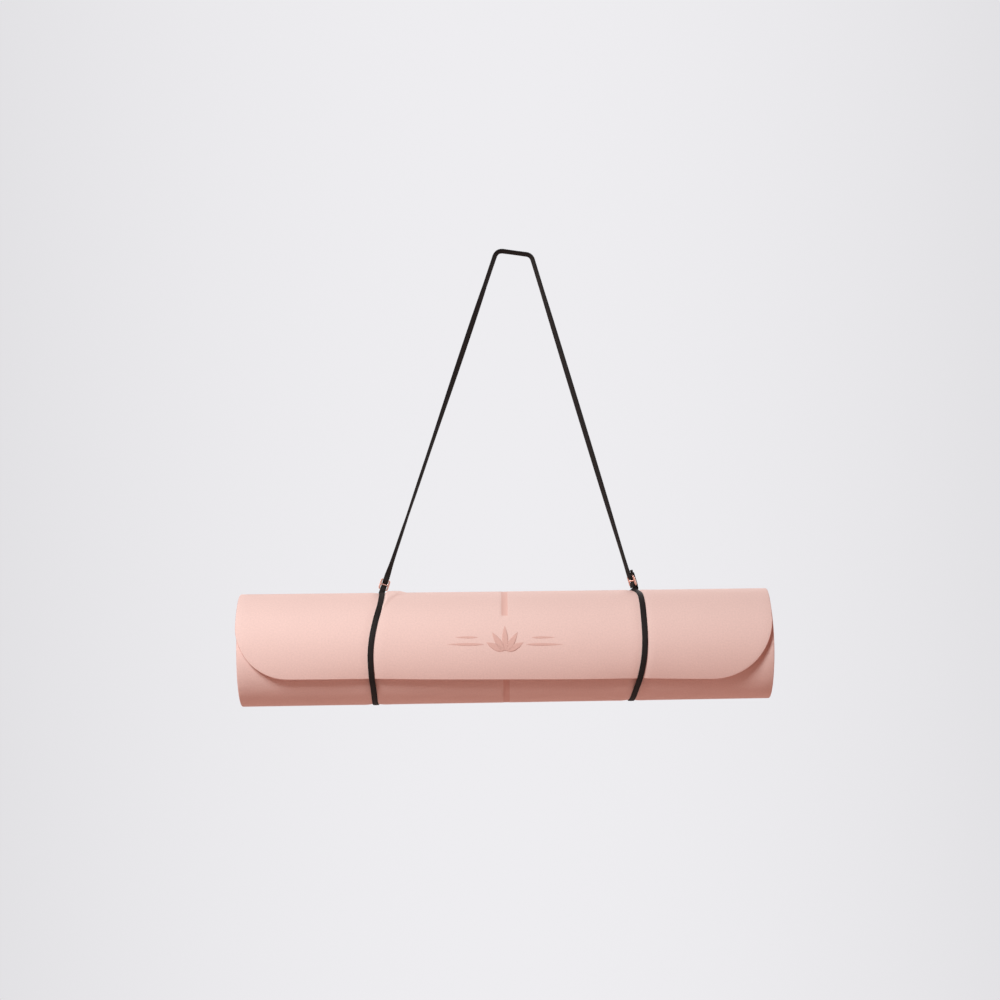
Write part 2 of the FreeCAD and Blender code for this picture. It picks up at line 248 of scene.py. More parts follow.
def shade(colour, factor):
    return tuple(min(1.0, part * factor) for part in colour[:3]) + (1.0,)


def mesh_object(name, points, faces, materials, face_materials=None, flat=None):
    """A smooth mesh object from arrays, with its flat coordinates as an attribute."""
    mesh = bpy.data.meshes.new(name)
    mesh.from_pydata([tuple(p) for p in points], [], [tuple(f) for f in faces])
    mesh.validate()
    for material in materials:
        mesh.materials.append(material)
    if face_materials is not None:
        mesh.polygons.foreach_set("material_index", np.asarray(face_materials, np.int32))
    mesh.polygons.foreach_set("use_smooth", np.ones(len(mesh.polygons), bool))
    if flat is not None:
        attribute = mesh.attributes.new("flat", "FLOAT_VECTOR", "POINT")
        attribute.data.foreach_set("vector", np.asarray(flat, np.float32).ravel())
    mesh.update()
    thing = bpy.data.objects.new(name, mesh)
    bpy.context.scene.collection.objects.link(thing)
    return thing


def grid_faces(index):
    """Four-sided faces between the points of a grid, from the points' numbers."""
    return np.stack([index[:-1, :-1], index[:-1, 1:], index[1:, 1:], index[1:, :-1]], -1).reshape(-1, 4)


def band_faces(first, second):
    """Four-sided faces between two closed rings, from their points' numbers."""
    return np.stack([first, second, np.roll(second, -1), np.roll(first, -1)], -1)


def count_points(blocks):
    return sum(len(block) for block in blocks)


# ---- the roll's shape ----

# Where the nooses cross the roll along X, by the angle up from the front in degrees.
NOOSE_ROUTES = {
    "left": {90: -0.1588, 75: -0.1582, 60: -0.1587, 45: -0.1615, 30: -0.1652, 15: -0.1682,
             0: -0.1696, -15: -0.1689, -30: -0.1679, -50: -0.1683, -70: -0.1684, -90: -0.168,
             -120: -0.1672, -150: -0.1662, -180: -0.1648, -210: -0.1626, -240: -0.1601},
    "right": {90: 0.133, 80: 0.1372, 70: 0.1396, 55: 0.1406, 40: 0.1409, 25: 0.1414, 10: 0.1419,
              -5: 0.1404, -20: 0.1374, -35: 0.1336, -50: 0.1304, -70: 0.1278, -90: 0.1268,
              -120: 0.1275, -150: 0.1290, -180: 0.1304, -210: 0.1315, -240: 0.1324},
}

# How the soft roll departs from an even spiral, in metres where nothing else is said.
TELESCOPE_START = 0.2  # along the sheet, where the turns begin to shift sideways
TELESCOPE_LENGTH = 0.2  # along the sheet, until they have shifted fully
WANDER = 0.0016  # sideways wander of the innermost turns
WANDER_WAVES = 17  # radians over the whole sheet
WANDER_PHASE = 0.6  # radians
SKEW_REACH = 0.6  # along the sheet, as the skew of the flap dies out
GRIP_REACH = 0.9  # along the sheet, as the nooses' grip dies out below the outer turn
DENT_REACH = 0.0062  # from the middle of a dent to its flank
SWELL_GAP = 0.0125  # from the middle of a dent to the low swell beside it
SWELL_REACH = 0.006
SWELL_SHARE = 0.2  # of the dent's depth
HELD_REACH = 0.045  # from a noose, as it holds the flap's edge down
HELD_LIFT = 0.25  # share of the lift that is left under a noose
LIFT_LENGTH = 0.035  # of the flap, which stands off
WAVES = ((0.00013, 0.031, 4, 0), (0.0001, 0.0127, -7, 1))  # height, length, slant and phase
LINE_FLANK = 0.0004  # width of the pressed line's flanks
OVAL_SHARE = 0.0035  # of the radius
OVAL_PHASE = 2.4  # radians

# The fold of foam beside the left noose: angles in degrees up from the front.
FOLD_START = 44
FOLD_SPREAD = 40  # from its start to its full width
FOLD_FADE_START = 95
FOLD_FADE = 35
FOLD_GAP = 0.0034  # from the middle of the tape
FOLD_FLANK = 0.0022
FOLD_NARROW = 0.002
FOLD_WIDENING = 0.02


def rise(value, start, length):
    """From 0 to 1 in a straight ramp that begins at start."""
    return np.clip((value - start) / length, 0, 1)


def hump(gap, reach):
    """1 in the middle, fading out smoothly over its reach."""
    return np.exp(-(gap / reach) ** 2)


def noose_x(name, degrees):
    """Where a noose crosses the roll along X, at an angle up from the front."""
    route = NOOSE_ROUTES[name]
    angles = sorted(route)
    return np.interp(degrees, angles, [route[angle] for angle in angles], period=360)


class Roll:
    """Places points of the flat sheet on the roll."""

    def __init__(self, mat):
        self.mat = mat
        halves = mat.half_turns
        middle = mat.sheet_length / (math.pi * halves)
        self.pitch = (mat.roll_radius - mat.thickness / 2 - middle) / (halves / 4)
        first = mat.roll_radius - self.pitch / 4
        self.radii = first - np.arange(halves) * self.pitch / 2
        self.mids = self.radii - mat.thickness / 2
        self.starts = np.concatenate([[0], np.cumsum(math.pi * self.mids)])
        top = first + self.pitch / 4 * math.sin(mat.flap_angle)
        self.centre = Vector(((ROLL_BOX[0].x + ROLL_BOX[1].x) / 2, 0, ROLL_BOX[1].z - top))

    def along_at(self, angle):
        """Distance from the flap end along the sheet's middle, to an angle of the outer turn."""
        turn = (angle - self.mat.flap_angle) % (2 * math.pi)
        half = int(turn > math.pi)
        return self.starts[half] + (turn - half * math.pi) * self.mids[half]

    def pinched(self, x, degrees):
        """Height of the fold of foam that the left noose pulls up beside it, under its slider."""
        share = rise(degrees, FOLD_START, FOLD_SPREAD)
        beside = x - noose_x("left", degrees) - FOLD_GAP
        width = FOLD_NARROW + FOLD_WIDENING * share ** 1.8
        fold = rise(beside, 0, FOLD_FLANK) * (1 - rise(beside, width - FOLD_FLANK, FOLD_FLANK))
        fold = fold * fold * (3 - 2 * fold)
        return self.mat.pinch * fold * rise(share, 0, 0.25) * (1 - rise(degrees, FOLD_FADE_START, FOLD_FADE))

    def edge_shift(self, x):
        """How far up the skew turns the outermost turn at a place along X, as an angle."""
        return self.mat.skew * (self.mat.skew_pivot - x) / self.mat.roll_radius

    def place(self, across, along, depth):
        """Points of the flat sheet, in the row frame. Depth is below the sheet's outer face."""
        mat = self.mat
        across, along, depth = (np.asarray(v, float) for v in np.broadcast_arrays(across, along, depth))
        half = np.clip(np.searchsorted(self.starts, along, side="right") - 1, 0, mat.half_turns - 1)
        angle = mat.flap_angle + math.pi * (half % 2) + (along - self.starts[half]) / self.mids[half]
        turns = along / mat.sheet_length
        drift = mat.telescope * rise(along, TELESCOPE_START, TELESCOPE_LENGTH)
        drift = drift + WANDER * np.sin(WANDER_WAVES * turns + WANDER_PHASE) * turns
        x = self.centre.x + across + drift
        angle = angle + self.edge_shift(x) * np.exp(-along / SKEW_REACH)
        height = self.grip_relief(x, along, np.degrees(angle))
        for wave, length, slant, phase in WAVES:
            height += wave * np.sin(along / length + across * slant + phase)
        height -= self.pressed_line(across, along, depth)
        radius = self.radii[half] - depth + height
        side = np.where(half % 2 == 0, 1, -1) * self.pitch / 4
        forward = side * math.cos(mat.flap_angle) + radius * np.cos(angle)
        up = side * math.sin(mat.flap_angle) + radius * np.sin(angle)
        scale = 1 + mat.looseness - mat.taper * (x - self.centre.x) / (mat.sheet_width / 2)
        scale = scale * (1 + OVAL_SHARE * np.cos(2 * angle - OVAL_PHASE))
        return np.stack([x, self.centre.y - forward * scale, self.centre.z + up * scale], -1)

    def grip_relief(self, x, along, degrees):
        """Height of the foam where the nooses dent it, and where the flap stands off between them."""
        mat = self.mat
        outer = np.exp(-np.clip(along - self.starts[2], 0, None) / GRIP_REACH)
        height = np.zeros_like(x)
        free = np.ones_like(x)
        for name in NOOSE_ROUTES:
            gap = np.abs(x - noose_x(name, degrees))
            height -= mat.dent * outer * hump(gap, DENT_REACH)
            height += SWELL_SHARE * mat.dent * outer * hump(gap - SWELL_GAP, SWELL_REACH)
            free *= 1 - hump(gap, HELD_REACH)
        height += mat.flap_lift * (1 - rise(along, 0, LIFT_LENGTH)) ** 2 * (HELD_LIFT + free)
        return height + self.pinched(x, degrees) * outer

    def pressed_line(self, across, along, depth):
        """Depth of the pressed centre line, which doesn't reach the bottom layer."""
        mat = self.mat
        across_line = mat.line_width / 2 - np.abs(across - mat.line_offset)
        along_line = np.minimum(along - mat.line_margin, mat.sheet_length - mat.line_margin - along)
        inside = rise(np.minimum(across_line, along_line), 0, LINE_FLANK)
        return mat.line_depth * inside * (1 - rise(depth, 0, mat.top_layer))


# ---- the mat's two layers ----

ARC_ROWS = 24  # along the sheet, over a rounded corner
TURN_ROWS = {0: 96, 1: 44, 2: 34}  # in the outer half turns, which are seen best
INNER_TURN_ROWS = 20
ROW_GAP = 0.002
PLAIN_COLUMNS = 40  # over the whole width
CORNER_COLUMNS = 8  # over a rounded corner
NOOSE_COLUMN = 0.0019  # width of a column under a noose
LEAST_COLUMN = 0.0003
CORNER_GAP = 0.004
NOOSE_MARGIN = 0.012
FOLD_MARGIN = 0.022
ROUNDING = [math.radians(degrees) for degrees in (30, 60, 90)]


def sheet_rows(mat, inset):
    """Distances along the sheet, closer together at its rounded ends."""
    radius = mat.right_corner - inset
    arc = [radius * (1 - math.cos(math.pi / 2 * step / ARC_ROWS)) for step in range(ARC_ROWS + 1)]
    first = [inset + distance for distance in arc]
    last = [mat.sheet_length - distance for distance in reversed(first)]
    starts = Roll(mat).starts
    middle = []
    for half, (start, end) in enumerate(zip(starts, starts[1:])):
        steps = TURN_ROWS.get(half, INNER_TURN_ROWS)
        spread = start + np.arange(steps) / steps * (end - start)
        middle += [value for value in spread if first[-1] + ROW_GAP < value < last[0] - ROW_GAP]
    return np.array(first + middle + last)


def sheet_columns(mat, left_widths, right_widths):
    """Positions across the sheet, row by row: closer together under the nooses and at the line."""
    inner = mat.sheet_width / 2 - mat.right_corner - CORNER_GAP
    fixed = set(np.round(np.linspace(-inner, inner, PLAIN_COLUMNS), 5))
    centre = (ROLL_BOX[0].x + ROLL_BOX[1].x) / 2
    for name, spare in (("left", FOLD_MARGIN), ("right", NOOSE_MARGIN)):
        places = [x - centre for x in NOOSE_ROUTES[name].values()]
        under = np.arange(min(places) - NOOSE_MARGIN, max(places) + spare, NOOSE_COLUMN)
        fixed |= set(np.round(under, 5))
    for edge in (-mat.line_width / 2, mat.line_width / 2):
        for side in (0, -math.copysign(LINE_FLANK, edge)):
            fixed.add(round(mat.line_offset + edge + side, 5))
    fixed = np.array(sorted(fixed))
    fixed = fixed[np.concatenate([[True], np.diff(fixed) > LEAST_COLUMN])]
    outer = np.linspace(0, 1, CORNER_COLUMNS + 1)[None, 1:]
    right = fixed[-1] + (right_widths[:, None] - fixed[-1]) * outer
    left = fixed[0] - (left_widths[:, None] + fixed[0]) * outer[:, ::-1]
    return np.concatenate([left, np.repeat(fixed[None, :], len(left_widths), 0), right], 1)


def sheet_grid(mat, inset):
    """Across and along of every grid point of the flat sheet, set in from its outline."""
    rows = sheet_rows(mat, inset)
    from_end = np.minimum(rows, mat.sheet_length - rows) - inset
    widths = []
    for corner in (mat.left_corner, mat.right_corner):
        radius = corner - inset
        short = np.clip(radius - from_end, 0, radius)
        widths.append(mat.sheet_width / 2 - inset - (radius - np.sqrt(radius ** 2 - short ** 2)))
    columns = sheet_columns(mat, *widths)
    return columns, np.repeat(rows[:, None], columns.shape[1], 1)


def border(array):
    """The outer ring of a grid, once round."""
    return np.concatenate([array[0, :-1], array[:-1, -1], array[-1, :0:-1], array[:0:-1, 0]])


def outward(mat, across, along):
    """Direction out of the flat sheet at points of its outline."""
    corner = np.where(across < 0, mat.left_corner, mat.right_corner)
    corner_x = mat.sheet_width / 2 - corner
    x = np.where(np.abs(across) > corner_x, across - np.sign(across) * corner_x, 0)
    high = mat.sheet_length - corner
    y = np.where(along < corner, along - corner, np.where(along > high, along - high, 0))
    length = np.sqrt(x ** 2 + y ** 2)
    return x / length, y / length


def build_layer(name, mat, upper, lower, upper_round, lower_round, materials):
    """One closed foam layer between two depths of the sheet, with rounded edges."""
    flat_points = []
    faces = []
    rings = []
    for depth, inset in ((upper, upper_round), (lower, lower_round)):
        across, along = sheet_grid(mat, inset)
        index = count_points(flat_points) + np.arange(across.size).reshape(across.shape)
        flat_points.append(np.stack([across.ravel(), along.ravel(), np.full(across.size, depth)], -1))
        faces.append(grid_faces(index))
        rings.append((border(index), border(across), border(along)))
    faces[1] = faces[1][:, ::-1]
    profile = [(upper_round * (1 - math.sin(angle)), upper + upper_round * (1 - math.cos(angle)))
               for angle in ROUNDING]
    profile += [(lower_round * (1 - math.sin(angle)), lower - lower_round * (1 - math.cos(angle)))
                for angle in reversed(ROUNDING)]
    first_loop, ring_x, ring_y = rings[0]
    out_x, out_y = outward(mat, ring_x, ring_y)
    loops = [first_loop]
    for inset, depth in profile:
        loops.append(count_points(flat_points) + np.arange(len(ring_x)))
        push = upper_round - inset
        flat_points.append(np.stack([ring_x + out_x * push, ring_y + out_y * push,
                                     np.full(len(ring_x), depth)], -1))
    loops.append(rings[1][0])
    faces += [band_faces(first, second) for first, second in zip(loops, loops[1:])]
    cut = [np.full(len(block), number > 2) for number, block in enumerate(faces)]
    flat = np.concatenate(flat_points)
    points = Roll(mat).place(*flat.T)
    return mesh_object(name, points, np.concatenate(faces), materials, np.concatenate(cut), flat)


def foam_material(name, colour, mat, with_line=False):
    """Foamed TPE, pressed against a fine-grained belt: matt, with a soft pebble grain.

    The grain is 0.9 mm, about twice its real size, so that it shows at arm's length.
    """
    patch_size = 0.06
    speckle_size = 0.0019
    grain_size = 0.0009
    material, tree, shader = new_material(name)
    place, parts = flat_coordinates(tree)
    patches = add_node(tree, "TexNoise", {"Vector": place}, Scale=1 / patch_size, Detail=3.0, Roughness=0.55)
    speckle = add_node(tree, "TexNoise", {"Vector": place}, Scale=1 / speckle_size, Detail=1.0)
    tone = mix(tree, patches.outputs["Fac"], shade(colour, 0.985), shade(colour, 1.06))
    tone = mix(tree, maths(tree, "MULTIPLY", speckle.outputs["Fac"], 0.9), tone, shade(colour, 0.86))
    if with_line:
        off = maths(tree, "ABSOLUTE", maths(tree, "SUBTRACT", parts["X"], mat.line_offset))
        inside = maths(tree, "LESS_THAN", off, mat.line_width / 2)
        started = maths(tree, "GREATER_THAN", parts["Y"], mat.line_margin)
        ended = maths(tree, "LESS_THAN", parts["Y"], mat.sheet_length - mat.line_margin)
        mask = maths(tree, "MULTIPLY", inside, maths(tree, "MULTIPLY", started, ended))
        tone = mix(tree, mask, tone, mat.line_colour)
    grain = add_node(tree, "TexVoronoi", {"Vector": place}, feature="SMOOTH_F1", Scale=1 / grain_size)
    bump = add_node(tree, "Bump", {"Height": grain.outputs["Distance"]}, Strength=0.35, Distance=0.00025)
    tree.links.new(tone, shader.inputs["Base Color"])
    tree.links.new(bump.outputs["Normal"], shader.inputs["Normal"])
    set_shader(shader, Roughness=0.8, IOR=1.46, Specular_IOR_Level=0.4)
    set_shader(shader, Sheen_Weight=0.04, Sheen_Roughness=0.5)
    return material


def cut_foam_material(name, colour):
    """The same foam where a knife cut it: open cells, drawn a little coarse at 0.7 mm, with painted shade in
    each cell's pit.
    """
    cell_size = 0.0007
    material, tree, shader = new_material(name)
    place, _ = flat_coordinates(tree)
    cells = add_node(tree, "TexVoronoi", {"Vector": place}, Scale=1 / cell_size)
    # Painted shade: each cell is darker towards its pit, where the bump is lowest.
    ramp = maths(tree, "POWER", cells.outputs["Distance"], 0.6)
    tone = mix(tree, ramp, shade(colour, 0.78), shade(colour, 1.06))
    bump = add_node(tree, "Bump", {"Height": cells.outputs["Distance"]}, Strength=0.6, Distance=0.0003)
    tree.links.new(tone, shader.inputs["Base Color"])
    tree.links.new(bump.outputs["Normal"], shader.inputs["Normal"])
    set_shader(shader, Roughness=0.88, IOR=1.46)
    return material


PETAL_TURNS = (-64, -33, 0, 33, 64)  # degrees from upright
PETAL_ROOT = 0.0022  # from the flower's middle to the root of an outer petal
DASHES = ((0.28, 0.36, 1.0, 0.0030), (0.55, 0.46, 0.86, 0.0024))  # level, start, end and breadth
POINT_WIDTH = 0.00016  # of a petal's pointed ends
MARK_RISE = 0.00009  # above the foam
MARK_DEPTH = 0.0003  # into the foam


def petal_ladder(base, tip, breadth, steps=14, rungs=6):
    """Flat points of one petal: a ladder of cross strips from base to tip, pointed at both ends."""
    base, tip = np.array(base), np.array(tip)
    axis = tip - base
    side = np.array([-axis[1], axis[0]]) / np.linalg.norm(axis)
    rows = []
    for step in range(steps + 1):
        share = step / steps
        half = max(breadth * math.sin(math.pi * share ** 0.8) ** 0.9, POINT_WIDTH) / 2
        rows.append([base + axis * share + side * half * (2 * rung / rungs - 1) for rung in range(rungs + 1)])
    return np.array(rows)


def mark_shapes(mat):
    """The generic mark pressed into the flap: a five-petal flower between two pairs of dashes."""
    height = mat.mark_height
    shapes = []
    for turn in PETAL_TURNS:
        angle = math.radians(turn)
        reach = height * (1 - 0.0038 * abs(turn))
        root = (mat.line_offset + PETAL_ROOT * math.sin(angle), mat.mark_base + 0.0006)
        tip = (root[0] + reach * math.sin(angle), root[1] + reach * math.cos(angle))
        shapes.append(petal_ladder(root, tip, height * 0.26))
    for side in (-1, 1):
        half_span = side * mat.mark_span / 2
        for level, start, end, breadth in DASHES:
            y = mat.mark_base + height * level
            first = (mat.line_offset + half_span * start, y)
            last = (mat.line_offset + half_span * end, y)
            shapes.append(petal_ladder(first, last, breadth, steps=24))
    return shapes


def build_mark(mat, material):
    """The mark as thin closed patches that follow the flap, slightly proud of it."""
    flat_points = []
    faces = []
    for rows in mark_shapes(mat):
        count = rows.shape[0] * rows.shape[1]
        grid = np.arange(count).reshape(rows.shape[:2])
        start = count_points(flat_points)
        for depth in (-MARK_RISE, MARK_DEPTH):
            flat_points.append(np.column_stack([rows.reshape(-1, 2), np.full(count, depth)]))
        quads = grid_faces(grid)
        loop = border(grid)
        faces += [start + quads, start + count + quads[:, ::-1], start + band_faces(loop, loop + count)]
    flat = np.concatenate(flat_points)
    return mesh_object("flap_mark", Roll(mat).place(*flat.T), np.concatenate(faces), [material], flat=flat)


class CARRY_OT_mat(bpy.types.Operator):
    """Builds the rolled mat: two foam layers and the mark pressed into the flap"""
    bl_idname = "carry.build_mat"
    bl_label = "Build the rolled mat"

    def execute(self, context):
        mat = context.scene.carry_mat
        seam_round = 0.0002
        top_foam = foam_material("TPE foam, pressed grain, top", mat.top_colour, mat, with_line=True)
        bottom_foam = foam_material("TPE foam, pressed grain, bottom", mat.bottom_colour, mat)
        cut_foam = cut_foam_material("TPE foam, knife cut", mat.cut_colour)
        top = build_layer("mat_top", mat, 0, mat.top_layer, mat.edge_round, seam_round,
                          [top_foam, cut_foam])
        bottom = build_layer("mat_bottom", mat, mat.top_layer, mat.thickness, seam_round, mat.edge_round,
                             [bottom_foam, cut_foam])
        mark = build_mark(mat, foam_material("TPE foam, pressed mark", mat.line_colour, mat))
        for piece, slot in ((top, "mat_top"), (bottom, "mat_bottom")):
            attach(piece, "mat")
            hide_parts(slot + "_layer")
        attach(mark, "mat")
        return {"FINISHED"}


# ---- the sling ----

def slider_centre(name):
    low, high = SLIDER_BOXES[name]
    return (low + high) / 2


def span_axis(name):
    return Vector(JOINTS[name + "_slider_slide"]["axis"]).normalized()


def slider_frame(name):
    """Matrix of a slider's own frame: origin on the span's middle line, z up it, y to the back."""
    slider = bpy.context.scene.carry_slider
    up = span_axis(name)
    turn = slider.right_turn if name == "right" else 0.0
    back = Matrix.Rotation(turn, 3, up) @ Vector((0, 1, 0))
    across = back.cross(up)
    basis = Matrix((across, back, up)).transposed().to_4x4()
    origin = slider_centre(name) - back * weave_reach()
    return Matrix.Translation(origin) @ basis


def weave_reach():
    slider = bpy.context.scene.carry_slider
    strap = bpy.context.scene.carry_strap
    return slider.bar_width / 2 + slider.bar_gap + strap.thickness / 2


def slider_foot(name):
    """Where the span's line meets the top of the roll."""
    centre = slider_centre(name)
    up = span_axis(name)
    return centre - up * ((centre.z - ROLL_BOX[1].z) / up.z)


def spline_points(points):
    """Points along the smooth NURBS route that has these control points."""
    curve = bpy.data.curves.new("route", "CURVE")
    curve.dimensions = "3D"
    spline = curve.splines.new("NURBS")
    spline.points.add(len(points) - 1)
    for target, point in zip(spline.points, points):
        target.co = (*point, 1)
    spline.order_u = 3
    spline.use_endpoint_u = True
    spline.resolution_u = 16
    route = bpy.data.objects.new("route", curve)
    mesh = bpy.data.meshes.new_from_object(route)
    co = np.array([vertex.co for vertex in mesh.vertices], float)
    bpy.data.meshes.remove(mesh)
    bpy.data.objects.remove(route)
    bpy.data.curves.remove(curve)
    return co


def even_distances(points, step):
    """Even distances along a line, and the distance of each of its own points from its start."""
    lengths = np.concatenate([[0], np.cumsum(np.linalg.norm(np.diff(points, axis=0), axis=1))])
    count = max(8, int(round(lengths[-1] / step)))
    return np.linspace(0, lengths[-1], count + 1), lengths


def unit(vectors):
    return vectors / np.linalg.norm(vectors, axis=1)[:, None]


def squared_up(wave, power):
    """A sine or cosine pushed outwards, which turns an oval into a rounded rectangle."""
    return np.sign(wave) * np.abs(wave) ** power


PLAIT_COLUMNS = 4
TAPE_AROUND = 44  # points round the tape


def braid_depth(across, along, strap):
    """Depth below the plaits' tops, from 0 to 1: columns of slanting plaits, side by side."""
    columns = (across / strap.width + 0.5) * PLAIT_COLUMNS
    column = np.clip(np.floor(columns), 0, PLAIT_COLUMNS - 1)
    offset = columns - column - 0.5
    slant = np.where(column % 2 == 0, 1, -1)
    phase = along / strap.plait + slant * offset * 0.85 + 0.5 * (column >= PLAIT_COLUMNS / 2)
    ridge = np.abs(np.cos(math.pi * phase)) ** 0.7
    crown = np.sqrt(np.clip(1 - (1.7 * offset) ** 2, 0, 1))
    return 1 - ridge * crown


def tape_mesh(name, stations, material):
    """A braided flat tape along (point, normal) stations, with its centreline and length."""
    strap = bpy.context.scene.carry_strap
    centre = spline_points([point for point, _ in stations])
    lifted = spline_points([Vector(point) + Vector(normal) * 0.01 for point, normal in stations])
    wanted, lengths = even_distances(centre, strap.step)
    points = np.stack([np.interp(wanted, lengths, centre[:, k]) for k in range(3)], -1)
    normals = np.stack([np.interp(wanted, lengths, (lifted - centre)[:, k]) for k in range(3)], -1)
    tangents = unit(np.gradient(points, axis=0))
    normals = unit(normals - (normals * tangents).sum(1)[:, None] * tangents)
    sides = np.cross(tangents, normals)
    turn = 2 * math.pi * (np.arange(TAPE_AROUND) + 0.5) / TAPE_AROUND
    across = squared_up(np.cos(turn), 0.62) * strap.width / 2
    height = squared_up(np.sin(turn), 0.5) * strap.thickness / 2
    sunk = braid_depth(across[None, :], wanted[:, None], strap)
    flatness = np.abs(height) / (strap.thickness / 2)
    raised = height[None, :] - np.sign(height)[None, :] * sunk * strap.relief * flatness[None, :]
    spread = across[None, :] * (1 - 0.12 * (1 - flatness[None, :]) * sunk)
    body = points[:, None, :] + sides[:, None, :] * spread[..., None]
    body += normals[:, None, :] * raised[..., None]
    index = np.arange(len(points) * TAPE_AROUND).reshape(len(points), TAPE_AROUND)
    faces = list(grid_faces(np.column_stack([index, index[:, 0]])))
    faces += [index[0][::-1], index[-1]]
    along = np.repeat(wanted[:, None], TAPE_AROUND, 1)
    flat = np.stack([spread, along, raised], -1).reshape(-1, 3)
    piece = mesh_object(name, body.reshape(-1, 3), faces, [material], flat=flat)
    return piece, points, float(wanted[-1])


def rotated(vector, axis, degrees):
    return Matrix.Rotation(math.radians(degrees), 3, axis) @ Vector(vector)


TAPE_FOOT = 0.0078  # below a slider's middle, where the tape begins to weave through it
TAPE_HEAD = 0.009  # above it, where the tape is straight again
PLY_GAP = 0.0003  # from the span to the tape's end behind it
TAPE_SINK = 0.0002  # how deep the tape sits in its dent
EDGE_BRIDGE = 25.2  # degrees that the tape spans freely below the flap's edge
SMOOTHING = 0.9915  # share of its radius that a smooth route keeps, from points on a circle


def end_ply():
    """From a span's middle line back to the middle of the tape's end, which lies behind it."""
    return 2 * weave_reach() + bpy.context.scene.carry_strap.thickness + PLY_GAP


def noose_stations(name):
    """From below the slider, once round the roll and up behind the slider to the end knot."""
    mat = bpy.context.scene.carry_mat
    roll = Roll(mat)
    own = slider_frame(name)
    back = own.to_3x3().col[1]
    foot = slider_foot(name)
    bridge = math.radians(EDGE_BRIDGE)
    lift = bpy.context.scene.carry_strap.thickness / 2 - TAPE_SINK

    def on_roll(degrees):
        angle = math.radians(degrees)
        x = float(noose_x(name, degrees))
        across = x - roll.centre.x
        shift = roll.edge_shift(x)
        start = mat.flap_angle + shift
        below = (start - angle) % (2 * math.pi)
        if 0 < below < bridge:
            edge = Vector(roll.place(across, 0.0, 0.0))
            touch = Vector(roll.place(across, roll.along_at(start - bridge - shift), 0.0))
            point = edge.lerp(touch, below / bridge)
        else:
            point = Vector(roll.place(across, roll.along_at(angle - shift), 0.0))
        radial = Vector((0, point.y - roll.centre.y, point.z - roll.centre.z)).normalized()
        return point + radial * lift, radial

    surface = on_roll(90)[0].z
    front = (Vector((foot.x, -0.0004, surface)), Vector((0, -0.7, 0.7)))
    stations = [(own @ Vector((0, 0, -TAPE_FOOT)), -back), front]
    edge = math.degrees(mat.flap_angle + roll.edge_shift(foot.x))
    angles = [85.5, 79, 70, 58, 45, 30, 15, 0, -13, edge + 0.6, edge - 12, edge - 26]
    angles += list(range(-66, -225, -15)) + [-237, -248, -257, -263]
    for degrees in angles:
        point, radial = on_roll(degrees)
        stretch = 1 / SMOOTHING if 58 > degrees > -237 else 1.0
        centre = Vector((point.x, roll.centre.y, roll.centre.z))
        stations.append((centre + (point - centre) * stretch, radial))
    tail = own @ Vector((0, end_ply(), -0.0076))
    stations.append((Vector((tail.x - 0.0006, tail.y + 0.0004, surface)), Vector((0, 0.5, 0.7))))
    stations.append((tail, back))
    stations.append((own @ Vector((0, end_ply(), 0.0)), back))
    stations.append((own @ Vector((0, end_ply(), TAPE_HEAD)), back))
    return stations


def span_length(name):
    """The span's middle line, from the slider's centre up to the grip's corner."""
    return (grip_corner(name) - slider_frame(name).translation).length


def grip_corner(name):
    strap = bpy.context.scene.carry_strap
    side = SIDES[name]
    return Vector((side * strap.grip_half_width, 0, -side * strap.grip_rise))


# The tape's twist along each span, in degrees, by the distance up from the slider in metres.
TWISTS = {
    "left": {0.02: 48, 0.04: 60, 0.065: 63, 0.085: 74, 0.12: 62, 0.16: 63, 0.2: 53, 0.24: 37,
             0.29: 20, 0.34: 27},
    "right": {0.02: -58, 0.045: -58, 0.08: -46, 0.115: -36, 0.155: -29, 0.24: -27, 0.29: -32,
              0.335: -40},
}
GRIP_TILT = 47  # degrees that the tape is turned over the grip
GRIP_END = 0.044  # from a corner of the grip down to where the span begins


def span_stations(name):
    """From below the slider, weaving past its bars, then straight up the span with its twist."""
    slider = bpy.context.scene.carry_slider
    own = slider_frame(name)
    up = span_axis(name)
    back = own.to_3x3().col[1]
    turn = math.degrees(slider.right_turn) if name == "right" else 0
    reach = weave_reach()
    stations = [(own @ Vector((0, 0, -TAPE_FOOT)), -back)]
    for step in range(-4, 5):
        height = step / 4 * slider.bar_pitch
        sway = reach * (1 + math.cos(math.pi * height / slider.bar_pitch))
        stations.append((own @ Vector((0, sway, height)), -back))
    stations.append((own @ Vector((0, 0, TAPE_HEAD)), -back))
    for height, twist in TWISTS[name].items():
        stations.append((own @ Vector((0, 0, height)), rotated(-back, up, twist - turn)))
    top = own @ Vector((0, 0, span_length(name) - GRIP_END))
    stations.append((top, rotated(-back, up, SIDES[name] * -GRIP_TILT - turn)))
    return stations


def grip_stations():
    """Over the grip from the left span to the right one, bent at its two corners."""
    left, right = grip_corner("left"), grip_corner("right")
    left_up, right_up = span_axis("left"), span_axis("right")
    flat = (right - left).normalized()
    tilt = math.radians(GRIP_TILT)
    sunk = math.sin(tilt)
    front = Vector((0, -math.cos(tilt), 0))
    left_in = rotated((0, -1, 0), left_up, 90) * sunk
    right_in = rotated((0, -1, 0), right_up, -90) * sunk
    down = Vector((flat.z, 0, -flat.x)) * sunk
    stations = [(left - left_up * distance, front + left_in) for distance in (GRIP_END, 0.03, 0.0158)]
    stations.append((left, front + (left_in + down).normalized() * sunk))
    stations += [(left + flat * 0.0158, front + down), (right - flat * 0.0122, front + down)]
    stations.append((right, front + (right_in + down).normalized() * sunk))
    stations += [(right - right_up * distance, front + right_in) for distance in (0.0122, 0.027, GRIP_END)]
    return stations


